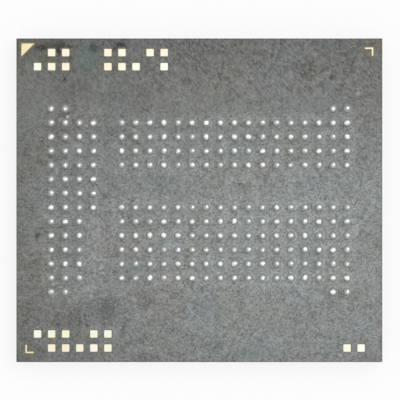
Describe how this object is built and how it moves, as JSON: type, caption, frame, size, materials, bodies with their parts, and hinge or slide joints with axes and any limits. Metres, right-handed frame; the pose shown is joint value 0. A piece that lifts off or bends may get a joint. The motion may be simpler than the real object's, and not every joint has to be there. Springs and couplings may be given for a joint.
{
  "type": "bga chip",
  "caption": "Thin square-cut memory package in a fine-pitch ball grid array: stacked dies moulded on a laminate, with solder balls, square test pads and corner marks on its outer face.",
  "frame": {"origin": "middle of the flat mould face, on which the package lies with its balls up", "axes": "+X along the long side, so that the first-corner triangle is at -X +Y; +Y along the short side; +Z from the mould face to the tops of the balls"},
  "size_m": [0.013, 0.0116, 0.001],
  "materials": {
    "mould_epoxy": "matte, fine grained, sawn at the sides",
    "laminate_core": "glass cloth in resin, sawn edge",
    "solder_mask": "satin, faintly mottled",
    "via_resin": "matte",
    "copper": "bare copper",
    "gold_finish": "thin electroplated gold over nickel",
    "gold_wire": "drawn gold wire",
    "solder": "satin tin alloy, lightly dinted",
    "silicon": "polished silicon",
    "die_attach": "adhesive film",
    "capacitor_ceramic": "fired ceramic",
    "tin_terminal": "tinned"
  },
  "bodies": {
    "root": {"mould_cap": "mould_epoxy", "substrate_core": "laminate_core", "via_barrels": "copper", "via_plugs": "via_resin", "die_side_copper": "copper", "ball_side_copper": "copper", "die_side_solder_mask": "solder_mask", "ball_side_solder_mask": "solder_mask", "upper_left_test_pads": "gold_finish", "lower_left_test_pads": "gold_finish", "lower_right_test_pads": "gold_finish", "first_corner_triangle": "gold_finish", "upper_right_corner_mark": "gold_finish", "lower_left_corner_mark": "gold_finish", "ball_row_01": "solder", "ball_row_02": "solder", "ball_row_03": "solder", "ball_row_04": "solder", "ball_row_05": "solder", "ball_row_06": "solder", "ball_row_07": "solder", "ball_row_08": "solder", "ball_row_09": "solder", "ball_row_10": "solder", "ball_row_11": "solder", "ball_row_12": "solder", "ball_row_13": "solder", "ball_row_14": "solder", "lower_flash_die": "silicon", "upper_flash_die": "silicon", "lower_memory_die": "silicon", "upper_memory_die": "silicon", "controller_die": "silicon", "lower_flash_film": "die_attach", "upper_flash_film": "die_attach", "lower_memory_film": "die_attach", "upper_memory_film": "die_attach", "controller_film": "die_attach", "lower_flash_wires": "gold_wire", "upper_flash_wires": "gold_wire", "lower_memory_wires": "gold_wire", "upper_memory_wires": "gold_wire", "controller_wires": "gold_wire", "left_finger_plating": "gold_finish", "right_finger_plating": "gold_finish", "controller_finger_plating": "gold_finish", "capacitor_bodies": "capacitor_ceramic", "capacitor_terminals": "tin_terminal", "capacitor_solder": "solder"}
  },
  "joints": []
}
